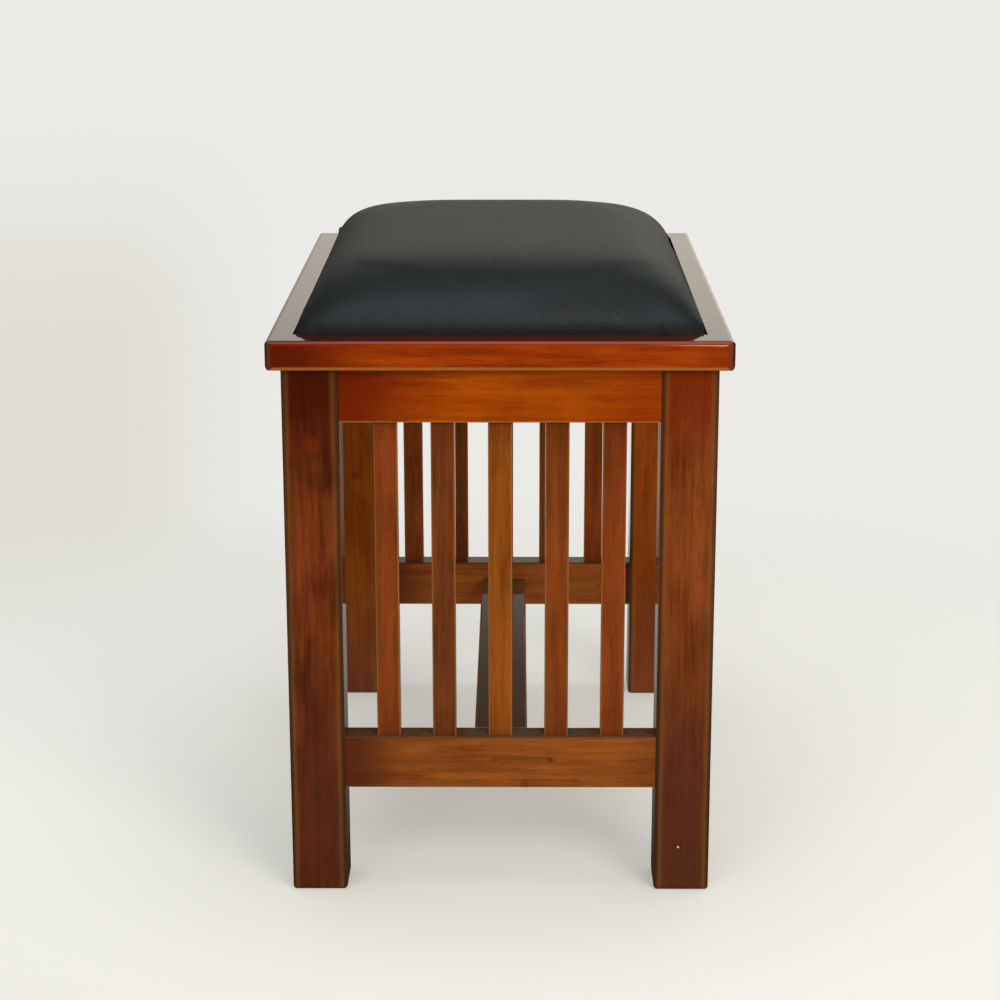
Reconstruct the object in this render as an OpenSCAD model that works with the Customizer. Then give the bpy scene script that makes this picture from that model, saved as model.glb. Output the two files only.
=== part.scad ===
// Low slatted stool: four square legs, five slats and a bottom rail at each narrow end,
// one stretcher down the middle, a mitred top frame and an upholstered seat that drops into it.
// The narrow ends face -Y (front) and +Y (back). The origin is on the floor, under the middle.

/* [Overall] */
// Width over the legs, across a narrow end
base_w = 350; // [320:5:450]
// Length over the legs, from front to back
base_l = 530; // [450:5:700]
// Length of a leg, from the floor to the underside of the top frame
leg_h = 449; // [400:1:600]

/* [Legs] */
// Side of the square leg
leg_s = 46; // [43:1:60]
// Radius on the four long edges of a leg
leg_r = 4.5; // [1:0.5:8]
// Chamfer round the foot of a leg, which keeps it from splintering
foot_chamfer = 2.5; // [0.5:0.5:5]

/* [Aprons] */
// Height of an apron
apron_h = 45; // [40:1:80]
// Thickness of an apron
apron_t = 22; // [18:1:25]
// Step back from the outer faces of the legs to the aprons and bottom rails
setback = 3; // [1:0.5:6]
// Radius on the long edges of the aprons, bottom rails and stretcher
rail_r = 2; // [0.5:0.5:3]

/* [Bottom rails] */
// Height of a bottom rail
rail_h = 45; // [40:1:70]
// Thickness of a bottom rail
rail_t = 24; // [22:1:27]
// Height of a bottom rail's lower edge above the floor
rail_z = 91; // [60:1:150]

/* [Slats] */
// Number of slats at each end
slat_n = 5; // [3:1:6]
// Width of a slat
slat_w = 19.5; // [15:0.5:24]
// Thickness of a slat
slat_t = 12; // [10:0.5:14]
// Step back from the face of the bottom rail to the faces of the slats
slat_setback = 5; // [3:0.5:6]
// Radius on the long edges of a slat
slat_r = 1.5; // [0.5:0.5:2]

/* [Stretcher] */
// Width of the stretcher
stretcher_w = 45; // [36:1:70]
// Thickness of the stretcher
stretcher_t = 18; // [14:1:22]
// Drop from the upper edge of the bottom rails to the stretcher's upper face
stretcher_drop = 17; // [16:1:20]

/* [Top frame] */
// Thickness of the top frame
top_t = 24; // [22:1:30]
// Width of a mitred top rail
top_w = 61.5; // [58:0.5:70]
// Overhang of the top frame past the outer faces of the legs
overhang = 11.5; // [6:0.5:20]
// Radius on the outer upper and lower edges of the top frame
top_r = 4.5; // [1:0.5:6]
// Radius on the upright corners of the top frame
corner_r = 9; // [2:0.5:12]
// Width of the face left beside the seat on the long sides
margin_side = 20.5; // [16:0.5:24]
// Width of the face left before and behind the seat
margin_end = 29.5; // [22:0.5:31]
// Depth of the rebate that the seat drops into
rebate_d = 12; // [11:0.5:14]

/* [Seat] */
// Gap between the seat and the wall of the rebate, at the corners
seat_gap = 1; // [0.5:0.5:3]
// Draw of the seat's sides inwards, half-way between the corners
side_draw = 1.5; // [0:0.5:4]
// Rise of the crown above its own edge
crown_h = 46; // [25:1:70]
// Steepness of the crown's shoulders across the seat
crown_power_x = 5.6; // [3:0.1:9]
// Steepness of the crown's back shoulder
crown_power_y = 13; // [4:0.5:18]
// Steepness of the crown's front shoulder, which slopes more softly than the back one
crown_power_front = 5; // [3:0.5:14]
// Roundness of the crown's lower edge, where lower is rounder
crown_power_edge = 0.63; // [0.5:0.01:1]
// Thickness of the plywood seat base
ply_t = 9; // [8:0.5:12]
// Radius on the upright corners of the plywood
ply_r = 2; // [1:0.5:6]
// Thickness of the leathercloth
cover_t = 1.2; // [0.8:0.1:2]
// Distance from the seat screws to the leathercloth turned under the plywood
hem_gap = 8; // [4:1:12]
// Thickness of the dust cover under the seat
dust_t = 0.5; // [0.3:0.1:1]
// Lap of the dust cover past the edge of the opening
dust_lap = 5; // [2:1:6]

/* [Corner blocks] */
// Length of a corner block along each apron, past the leg
block_past = 54; // [48:1:60]
// Height of a corner block
block_h = 20; // [18:1:24]
// Distance of its upright screws from the apron's inner face
block_screw_in = 8; // [6:1:10]
// Distance of its upright screws from the leg's inner face
block_screw_along = 20; // [16:1:22]
// Distance of its level screws from the leg's inner face
apron_screw_along = 38; // [34:1:40]

/* [Joints] */
// Thickness of the tenons on the aprons, bottom rails and stretcher
tenon_t = 8; // [6:0.5:10]
// Length of the tenons on the aprons and bottom rails
tenon_l = 22; // [15:1:22]
// Shoulder above and below those tenons, and beside the stretcher's
tenon_shoulder = 6; // [3:0.5:9]
// Length of the stretcher's tenons
stretcher_tenon_l = 14; // [8:1:16]
// Thickness of a slat's tenon
slat_tenon_t = 6; // [4:0.5:8]
// Length of a slat's tenon
slat_tenon_l = 12; // [6:1:12]
// Shoulder on the edges of a slat's tenon
slat_shoulder = 2; // [1:0.5:4]
// Thickness of the loose splines in the mitres
spline_t = 4; // [3:0.5:5]
// Width of a spline, across the mitre
spline_w = 24; // [16:1:26]
// Length of a spline, along the mitre
spline_l = 44; // [30:1:48]
// Height of the splines above the underside of the top frame
spline_z = 3.5; // [3:0.5:5]

/* [Screws] */
// Diameter of the screws' shanks
screw_d = 4; // [3:0.1:4.5]
// Diameter of the countersunk heads
head_d = 8; // [6:0.1:9]
// Depth of the countersunk heads
head_h = 3; // [2:0.1:4]
// Length of the screws' points
point_l = 5; // [3:0.5:8]
// Depth that the blocks' upright screws reach into the top frame
frame_bite = 8; // [6:0.5:9]
// Depth that the blocks' level screws reach into the aprons
apron_bite = 13; // [8:1:16]
// Depth that the seat screws reach into the plywood
seat_bite = 6.2; // [4:0.2:7]
// Distance of the seat screws from the edge of the opening
seat_screw_in = 10; // [8:1:12]
// Spacing of the seat screws along a long side
seat_screw_pitch = 150; // [100:5:160]

/* [Hidden] */
slat_names = [for (side = ["front", "back"], i = [1:slat_n]) str("slat_", side, "_", i)];

$fn = 48;
// Overrun of every cut past the face it opens on
over = 2;
// Clearance on each side of a tenon or spline
joint_gap = 0.15;
// Glue room past the end of a tenon or spline
glue_room = 1;
// Radial clearance of a screw in its hole
screw_gap = 0.1;
// Clearance round the soft pieces
soft_gap = 0.3;
// Height of the foam's upright edge
foam_edge = 0.9;
// Grid of the crown, in cells across and along the seat
crown_cells_x = 16;
crown_cells_y = 22;
// A quarter turn and half of it
quarter = 90;
eighth = 45;

sides = [-1, 1];

// Inner faces of the legs, where the shoulders of the aprons and rails meet them
span_x = base_w / 2 - leg_s;
span_y = base_l / 2 - leg_s;
// Middles of the members, measured from the middle of the stool
apron_x = base_w / 2 - setback - apron_t / 2;
apron_y = base_l / 2 - setback - apron_t / 2;
apron_z = leg_h - apron_h / 2;
rail_y = base_l / 2 - setback - rail_t / 2;
rail_mid_z = rail_z + rail_h / 2;
rail_top = rail_z + rail_h;
slat_y = base_l / 2 - setback - slat_setback - slat_t / 2;
slat_low = rail_top;
slat_high = leg_h - apron_h;
slat_space = (2 * span_x - slat_n * slat_w) / (slat_n + 1);
slat_pitch = slat_space + slat_w;
stretcher_z = rail_top - stretcher_drop - stretcher_t / 2;
stretcher_half = base_l / 2 - setback - rail_t;

frame_w = base_w + 2 * overhang;
frame_l = base_l + 2 * overhang;
top_z = leg_h + top_t;
opening_x = frame_w / 2 - top_w;
opening_y = frame_l / 2 - top_w;
ledge_z = top_z - rebate_d;

// Half sizes of the seat over its cover, and the levels of its layers
seat_x = frame_w / 2 - margin_side - seat_gap;
seat_y = frame_l / 2 - margin_end - seat_gap;
hem_z = ledge_z + soft_gap;
ply_z = hem_z + cover_t + soft_gap;
foam_z = ply_z + ply_t + soft_gap;
crown_z = foam_z + foam_edge;
dust_z = ply_z - soft_gap - dust_t;
inset = cover_t + soft_gap;

// Places of the blocks and screws, measured inwards from the outer faces of the legs
block_at = setback + apron_t;
block_end = leg_s + block_past;
frame_screw_in = block_at + block_screw_in;
frame_screw_along = leg_s + block_screw_along;
apron_screw_in = leg_s + apron_screw_along;
apron_screw_from = block_at + block_end - apron_screw_in - head_d / 2;
seat_screw_x = opening_x + seat_screw_in;
// Width of the leathercloth turned under the plywood, which stops short of the screws
hem_w = seat_x - seat_screw_x - screw_d / 2 - hem_gap;

// Lengths of the screws
frame_screw_l = block_h + frame_bite;
apron_screw_l = apron_screw_from - block_at + apron_bite;
seat_screw_l = ply_z - leg_h + seat_bite;

// Rectangle with rounded corners, about the origin
module rounded_section(w, h, r) {
    square([w - 2 * r, h], center = true);
    square([w, h - 2 * r], center = true);
    for (x = sides, y = sides)
        translate([x * (w / 2 - r), y * (h / 2 - r)]) circle(r);
}

// Rounded bar along X, about the origin: length, thickness along Y, height, edge radius
module bar_x(l, t, h, r) {
    rotate([quarter, 0, quarter])
        linear_extrude(height = l, center = true) rounded_section(t, h, r);
}

// Rounded bar along Y, about the origin: length, thickness along X, height, edge radius
module bar_y(l, t, h, r) {
    rotate([quarter, 0, 0])
        linear_extrude(height = l, center = true) rounded_section(t, h, r);
}

module box(size) {
    cube(size, center = true);
}

// Countersunk screw along +Z with its head's face at 0; grow makes the hole that it fits
module screw(l, grow = 0) {
    shank_r = screw_d / 2 + grow;
    cylinder(h = head_h, r1 = head_d / 2 + grow, r2 = shank_r);
    cylinder(h = l - point_l, r = shank_r);
    translate([0, 0, l - point_l]) cylinder(h = point_l + grow, r1 = shank_r, r2 = 0);
    if (grow > 0) translate([0, 0, -over]) cylinder(h = over, r = head_d / 2 + grow);
}

// Mortise for a tenon that runs along X from the inner face of a leg
module mortise_x(sx, y, z, h) {
    depth = tenon_l + glue_room + over;
    translate([sx * (span_x - over + depth / 2), y, z])
        box([depth, tenon_t + 2 * joint_gap, h - 2 * tenon_shoulder + 2 * joint_gap]);
}

// Mortise for a tenon that runs along Y from the inner face of a leg
module mortise_y(sy, x, z, h) {
    depth = tenon_l + glue_room + over;
    translate([x, sy * (span_y - over + depth / 2), z])
        box([tenon_t + 2 * joint_gap, depth, h - 2 * tenon_shoulder + 2 * joint_gap]);
}

// Sloping cuts under the four lower edges of a leg whose foot is centred on the origin
module foot_cuts() {
    reach = 2 * foot_chamfer;
    for (turn = [0:3])
        rotate([0, 0, turn * quarter]) translate([leg_s / 2, 0, 0])
            rotate([0, eighth, 0]) box([sqrt(2) * foot_chamfer, leg_s + reach, reach]);
}

module leg(sx, sy) {
    color("sienna") difference() {
        translate([sx * (base_w - leg_s) / 2, sy * (base_l - leg_s) / 2, 0]) difference() {
            linear_extrude(height = leg_h) rounded_section(leg_s, leg_s, leg_r);
            foot_cuts();
        }
        mortise_x(sx, sy * apron_y, apron_z, apron_h);
        mortise_y(sy, sx * apron_x, apron_z, apron_h);
        mortise_x(sx, sy * rail_y, rail_mid_z, rail_h);
    }
}

// Mortises for the slats, opening at height z upwards (up = 1) or downwards (up = -1)
module slat_mortises(sy, z, up) {
    depth = slat_tenon_l + glue_room + over;
    for (i = [0:slat_n - 1])
        translate([slat_x(i), sy * slat_y, z + up * (over - depth / 2)])
            box([slat_w - 2 * slat_shoulder + 2 * joint_gap, slat_tenon_t + 2 * joint_gap, depth]);
}

function slat_x(i) = (i - (slat_n - 1) / 2) * slat_pitch;

module end_apron(sy) {
    color("chocolate") difference() {
        translate([0, sy * apron_y, apron_z]) {
            bar_x(2 * span_x, apron_t, apron_h, rail_r);
            box([2 * (span_x + tenon_l), tenon_t, apron_h - 2 * tenon_shoulder]);
        }
        slat_mortises(sy, slat_high, -1);
        for (sx = sides) end_apron_screw(sx, sy, screw_gap);
    }
}

module side_apron(sx) {
    color("chocolate") difference() {
        translate([sx * apron_x, 0, apron_z]) {
            bar_y(2 * span_y, apron_t, apron_h, rail_r);
            box([tenon_t, 2 * (span_y + tenon_l), apron_h - 2 * tenon_shoulder]);
        }
        for (sy = sides) side_apron_screw(sx, sy, screw_gap);
    }
}

module bottom_rail(sy) {
    mortise_l = stretcher_tenon_l + glue_room + over;
    color("chocolate") difference() {
        translate([0, sy * rail_y, rail_mid_z]) {
            bar_x(2 * span_x, rail_t, rail_h, rail_r);
            box([2 * (span_x + tenon_l), tenon_t, rail_h - 2 * tenon_shoulder]);
        }
        slat_mortises(sy, slat_low, 1);
        translate([0, sy * (stretcher_half - over + mortise_l / 2), stretcher_z])
            box([stretcher_w - 2 * tenon_shoulder + 2 * joint_gap, mortise_l,
                 tenon_t + 2 * joint_gap]);
    }
}

module slat(sy, i) {
    slat_l = slat_high - slat_low;
    color("peru") translate([slat_x(i), sy * slat_y, (slat_low + slat_high) / 2]) {
        linear_extrude(height = slat_l, center = true) rounded_section(slat_w, slat_t, slat_r);
        box([slat_w - 2 * slat_shoulder, slat_tenon_t, slat_l + 2 * slat_tenon_l]);
    }
}

module stretcher() {
    color("saddlebrown") translate([0, 0, stretcher_z]) {
        bar_y(2 * stretcher_half, stretcher_w, stretcher_t, rail_r);
        box([stretcher_w - 2 * tenon_shoulder, 2 * (stretcher_half + stretcher_tenon_l), tenon_t]);
    }
}

// Section of a top rail: outer edge at x = 0, underside at y = 0
module top_profile() {
    translate([top_r, 0]) square([top_w - top_r, top_t]);
    translate([0, top_r]) square([top_w, top_t - 2 * top_r]);
    for (y = [top_r, top_t - top_r]) translate([top_r, y]) circle(top_r);
}

// Rebate that the seat drops into, cut from all four rails
module seat_recess() {
    translate([0, 0, ledge_z + (rebate_d + over) / 2])
        box([frame_w - 2 * margin_side, frame_l - 2 * margin_end, rebate_d + over]);
}

// Loose spline in the middle of the mitre, in the corner at (sx, sy) of a frame w by l
module spline(sx, sy, w, l, gap = 0, room = 0) {
    translate([sx * (w - top_w) / 2, sy * (l - top_w) / 2, leg_h + spline_z + spline_t / 2])
        rotate([0, 0, sx * sy * eighth])
            box([spline_l + 2 * room, spline_w + 2 * room, spline_t + 2 * gap]);
}

// Mitred rail of the given length along X, on the +Y side of a frame that deep
module mitred_rail(length, depth) {
    difference() {
        intersection() {
            translate([0, depth / 2, leg_h]) rotate([quarter, 0, -quarter])
                linear_extrude(height = length, center = true) top_profile();
            translate([0, 0, leg_h - over]) linear_extrude(height = top_t + 2 * over)
                intersection() {
                    polygon([[-length / 2, depth / 2], [length / 2, depth / 2],
                             [length / 2 - top_w, depth / 2 - top_w],
                             [top_w - length / 2, depth / 2 - top_w]]);
                    rounded_section(length, depth, corner_r);
                }
        }
        for (sx = sides) {
            spline(sx, 1, length, depth, joint_gap, glue_room);
            translate([sx * (length / 2 - overhang - frame_screw_along),
                       depth / 2 - overhang - frame_screw_in, leg_h - block_h])
                screw(frame_screw_l, screw_gap);
        }
    }
}

module top_rail_end(sy) {
    color("sienna") difference() {
        rotate([0, 0, sy > 0 ? 0 : 2 * quarter]) mitred_rail(frame_w, frame_l);
        seat_recess();
    }
}

module top_rail_side(sx) {
    color("sienna") difference() {
        rotate([0, 0, -sx * quarter]) mitred_rail(frame_l, frame_w);
        seat_recess();
        seat_screws_at(sx, screw_gap);
    }
}

module mitre_splines() {
    color("burlywood") for (sx = sides, sy = sides) spline(sx, sy, frame_w, frame_l);
}

// Block glued into the corner behind a leg, notched round it
module corner_block(sx, sy) {
    corner = [[block_at, leg_s], [leg_s, leg_s], [leg_s, block_at],
              [block_end, block_at], [block_at, block_end]];
    color("burlywood") difference() {
        translate([0, 0, leg_h - block_h]) linear_extrude(height = block_h)
            polygon([for (p = corner) [sx * (base_w / 2 - p.x), sy * (base_l / 2 - p.y)]]);
        frame_screws_at(sx, sy, screw_gap);
        end_apron_screw(sx, sy, screw_gap);
        side_apron_screw(sx, sy, screw_gap);
    }
}

// The two upright screws of one corner block, into the two top rails
module frame_screws_at(sx, sy, grow = 0) {
    for (p = [[frame_screw_in, frame_screw_along], [frame_screw_along, frame_screw_in]])
        translate([sx * (base_w / 2 - p.x), sy * (base_l / 2 - p.y), leg_h - block_h])
            screw(frame_screw_l, grow);
}

// Hole behind a level screw's head, out through the sloping face of the block
module head_bore(grow) {
    if (grow > 0) translate([0, 0, -head_d]) cylinder(h = head_d, r = head_d / 2 + grow);
}

// Level screw of one corner block into the end apron
module end_apron_screw(sx, sy, grow = 0) {
    translate([sx * (base_w / 2 - apron_screw_in), sy * (base_l / 2 - apron_screw_from),
               leg_h - block_h / 2])
        rotate([-sy * quarter, 0, 0]) {
            screw(apron_screw_l, grow);
            head_bore(grow);
        }
}

// Level screw of one corner block into the side apron
module side_apron_screw(sx, sy, grow = 0) {
    translate([sx * (base_w / 2 - apron_screw_from), sy * (base_l / 2 - apron_screw_in),
               leg_h - block_h / 2])
        rotate([0, sx * quarter, 0]) {
            screw(apron_screw_l, grow);
            head_bore(grow);
        }
}

module frame_screws() {
    color("silver") for (sx = sides, sy = sides) frame_screws_at(sx, sy);
}

module apron_screws() {
    color("silver") for (sx = sides, sy = sides) {
        end_apron_screw(sx, sy);
        side_apron_screw(sx, sy);
    }
}

// The screws of one long side, up through the ledge of the rebate into the seat base
module seat_screws_at(sx, grow = 0) {
    for (i = [-1:1])
        translate([sx * seat_screw_x, i * seat_screw_pitch, leg_h]) screw(seat_screw_l, grow);
}

module seat_screws() {
    color("silver") for (sx = sides) seat_screws_at(sx);
}

module seat_base() {
    color("tan") difference() {
        translate([0, 0, ply_z]) linear_extrude(height = ply_t)
            rounded_section(2 * (seat_x - inset - side_draw), 2 * (seat_y - inset - side_draw), ply_r);
        for (sx = sides) seat_screws_at(sx, screw_gap);
    }
}

// The crown is a grid of points (u, v), each from -1 to 1, closer together towards the edges
function crown_u(i) = sin(quarter * (2 * i / crown_cells_x - 1));
function crown_v(j) = sin(quarter * (2 * j / crown_cells_y - 1));
function crown_power(v) = v < 0 ? crown_power_front : crown_power_y;
function crown_rise(u, v) =
    pow(max(0, (1 - pow(abs(u), crown_power_x)) * (1 - pow(abs(v), crown_power(v)))),
        crown_power_edge);
// Plan of the seat at (u, v), for half sizes x and y: its sides draw in between its corners
function seat_plan(u, v, x, y) =
    [u * (x - side_draw * (1 - v * v)), v * (y - side_draw * (1 - u * u))];

// Points of the crown, row by row along the seat, over half sizes x and y
function crown_points(x, y, rise) = [
    for (j = [0:crown_cells_y], i = [0:crown_cells_x])
        let (u = crown_u(i), v = crown_v(j), p = seat_plan(u, v, x, y))
        [p.x, p.y, crown_z + rise * crown_rise(u, v)]];

// Grid indices round the edge of the crown, anticlockwise from the front left corner
edge_steps = concat(
    [for (i = [0:crown_cells_x - 1]) [i, 0]],
    [for (j = [0:crown_cells_y - 1]) [crown_cells_x, j]],
    [for (i = [crown_cells_x:-1:1]) [i, crown_cells_y]],
    [for (j = [crown_cells_y:-1:1]) [0, j]]);
edge_count = len(edge_steps);
row_count = crown_cells_x + 1;
crown_count = row_count * (crown_cells_y + 1);

function edge_index(k, first) =
    first + edge_steps[k % edge_count].x + row_count * edge_steps[k % edge_count].y;
// Ring of points under the crown's edge, over half sizes x and y, at height z
function edge_ring(x, y, z) = [
    for (s = edge_steps)
        let (p = seat_plan(crown_u(s.x), crown_v(s.y), x, y)) [p.x, p.y, z]];

// Triangles of the crown, seen from above, or turned over
function crown_faces(first, turned = false) = [
    for (j = [0:crown_cells_y - 1], i = [0:crown_cells_x - 1])
        let (a = first + i + row_count * j, b = a + 1, c = b + row_count, d = a + row_count)
        each (turned ? [[a, b, c], [a, c, d]] : [[a, c, b], [a, d, c]])];

// Triangles of a band from one ring of indices down to the next
function band_faces(upper, lower) = [
    for (k = [0:edge_count - 1])
        let (a = upper[k], b = upper[(k + 1) % edge_count],
             c = lower[(k + 1) % edge_count], d = lower[k])
        each [[a, b, c], [a, c, d]]];

function ring_indices(first) = [for (k = [0:edge_count - 1]) first + k];
function crown_edge(first) = [for (k = [0:edge_count - 1]) edge_index(k, first)];

// Foam block: flat below, crowned above, inside the cover
module seat_foam() {
    x = seat_x - inset;
    y = seat_y - inset;
    bottom = ring_indices(crown_count);
    color("khaki") polyhedron(
        points = concat(crown_points(x, y, crown_h - inset), edge_ring(x, y, foam_z)),
        faces = concat(crown_faces(0), band_faces(crown_edge(0), bottom),
                       [bottom]));
}

// Leathercloth: over the foam, down the sides of the plywood and turned under its edge
module seat_cover() {
    inner_x = seat_x - cover_t;
    inner_y = seat_y - cover_t;
    hem_x = seat_x - hem_w;
    hem_y = seat_y - hem_w;
    rings = [for (n = [0:3]) ring_indices(crown_count + n * edge_count)];
    inner = crown_count + len(rings) * edge_count;
    color("darkslategray") polyhedron(
        points = concat(
            crown_points(seat_x, seat_y, crown_h),
            edge_ring(seat_x, seat_y, hem_z),
            edge_ring(hem_x, hem_y, hem_z),
            edge_ring(hem_x, hem_y, hem_z + cover_t),
            edge_ring(inner_x, inner_y, hem_z + cover_t),
            crown_points(inner_x, inner_y, crown_h - cover_t)),
        faces = concat(
            crown_faces(0),
            band_faces(crown_edge(0), rings[0]),
            band_faces(rings[0], rings[1]),
            band_faces(rings[1], rings[2]),
            band_faces(rings[2], rings[3]),
            band_faces(rings[3], crown_edge(inner)),
            crown_faces(inner, turned = true)));
}

// Thin cloth that closes the opening under the seat
module dust_cover() {
    color("dimgray") translate([0, 0, dust_z])
        linear_extrude(height = dust_t)
            square([2 * (opening_x + dust_lap), 2 * (opening_y + dust_lap)], center = true);
}

leg(-1, -1);  // leg_front_left
leg(1, -1);  // leg_front_right
leg(-1, 1);  // leg_back_left
leg(1, 1);  // leg_back_right
end_apron(-1);  // apron_front
end_apron(1);  // apron_back
side_apron(-1);  // apron_left
side_apron(1);  // apron_right
bottom_rail(-1);  // bottom_rail_front
bottom_rail(1);  // bottom_rail_back
stretcher();
for (i = [0:slat_n - 1]) {
    slat(-1, i);
    slat(1, i);
}
top_rail_end(-1);  // top_rail_front
top_rail_end(1);  // top_rail_back
top_rail_side(-1);  // top_rail_left
top_rail_side(1);  // top_rail_right
mitre_splines();
corner_block(-1, -1);  // corner_block_front_left
corner_block(1, -1);  // corner_block_front_right
corner_block(-1, 1);  // corner_block_back_left
corner_block(1, 1);  // corner_block_back_right
frame_screws();
apron_screws();
seat_base();
seat_foam();
seat_cover();
dust_cover();
seat_screws();
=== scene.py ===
import math

import bpy
import numpy as np
from mathutils import Matrix, Vector


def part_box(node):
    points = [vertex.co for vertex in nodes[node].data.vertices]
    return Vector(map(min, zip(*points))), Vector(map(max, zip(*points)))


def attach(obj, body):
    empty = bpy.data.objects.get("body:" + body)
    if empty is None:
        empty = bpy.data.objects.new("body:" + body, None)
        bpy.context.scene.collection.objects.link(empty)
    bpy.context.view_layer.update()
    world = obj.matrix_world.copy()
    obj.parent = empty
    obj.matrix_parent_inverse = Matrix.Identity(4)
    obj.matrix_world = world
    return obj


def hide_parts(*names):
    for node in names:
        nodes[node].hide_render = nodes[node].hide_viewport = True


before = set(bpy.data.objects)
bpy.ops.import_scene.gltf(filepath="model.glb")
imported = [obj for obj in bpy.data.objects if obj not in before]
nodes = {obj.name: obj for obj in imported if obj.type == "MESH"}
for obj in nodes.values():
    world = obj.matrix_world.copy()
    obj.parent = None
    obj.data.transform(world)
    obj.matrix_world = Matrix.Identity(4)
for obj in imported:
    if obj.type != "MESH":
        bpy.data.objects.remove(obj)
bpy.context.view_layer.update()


# Legs
# Four 46 mm square legs of dense, fine-grained hardwood, planed, with rounded long edges.
# They are stained orange brown, darker at the top, partly from toning and partly as painted
# shadow under the top frame, and sprayed with gloss lacquer. Their long edges carry golden
# lines and dark edges, partly stain and partly painted highlight and shade. The grain runs up each
# leg.

def linear(hex_colour):
    """The linear colour of an sRGB hex value such as 7a3c14, with full alpha."""
    parts = [int(hex_colour[i:i + 2], 16) / 255 for i in (0, 2, 4)]
    return [p / 12.92 if p <= 0.04045 else ((p + 0.055) / 1.055) ** 2.4 for p in parts] + [1.0]


def add(tree, kind, inputs=None, **settings):
    """Adds a node of that kind with its settings, and sets or links its inputs."""
    node = tree.nodes.new(kind)
    for key, value in settings.items():
        setattr(node, key, value)
    for key, value in (inputs or {}).items():
        if isinstance(value, bpy.types.NodeSocket):
            tree.links.new(value, node.inputs[key])
        else:
            node.inputs[key].default_value = value
    return node


def blank_material(name):
    """A new material, its tree, and the tree's only node, which gives texture coordinates."""
    material = bpy.data.materials.new(name)
    material.use_nodes = True
    material.node_tree.nodes.clear()
    return material, material.node_tree, add(material.node_tree, "ShaderNodeTexCoord")


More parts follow.
